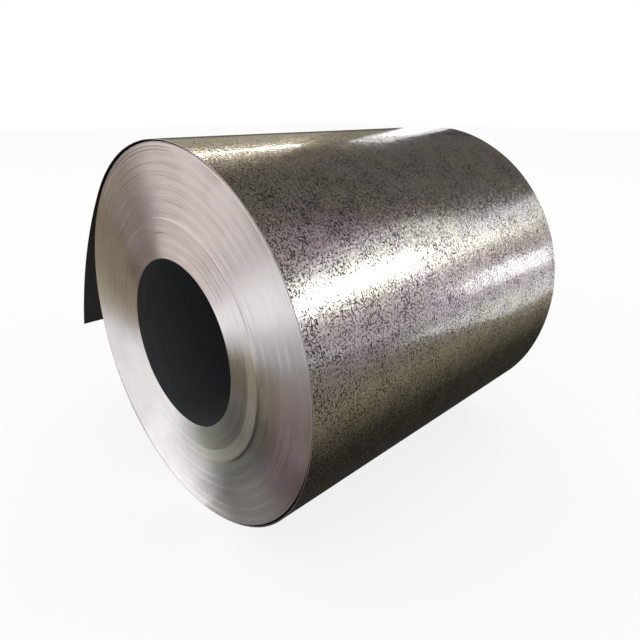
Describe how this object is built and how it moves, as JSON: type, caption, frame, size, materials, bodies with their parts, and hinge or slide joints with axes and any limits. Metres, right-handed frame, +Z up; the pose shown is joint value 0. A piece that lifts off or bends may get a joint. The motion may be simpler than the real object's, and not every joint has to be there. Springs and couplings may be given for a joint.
{
  "type": "steel coil",
  "caption": "Coil of galvanised sheet steel strip lying on its side, wound round an open bore, with telescoped laps on its ends and the strip's free outer end sprung away at one side.",
  "frame": {"origin": "middle of the bore, on its axis, halfway along the strip's nominal width", "axes": "+Y along the bore axis from the near end to the far end, +Z up, -X towards the strip's free outer end; the floor is at Z = -0.564 m"},
  "size_m": [1.3315, 1.2264, 1.1323],
  "materials": {
    "galvanised_steel": "hot-dip galvanised, fine spangle, semi-bright, with the slit edges of the laps on the ends"
  },
  "bodies": {
    "root": {"steel_coil": "galvanised_steel"}
  },
  "joints": []
}
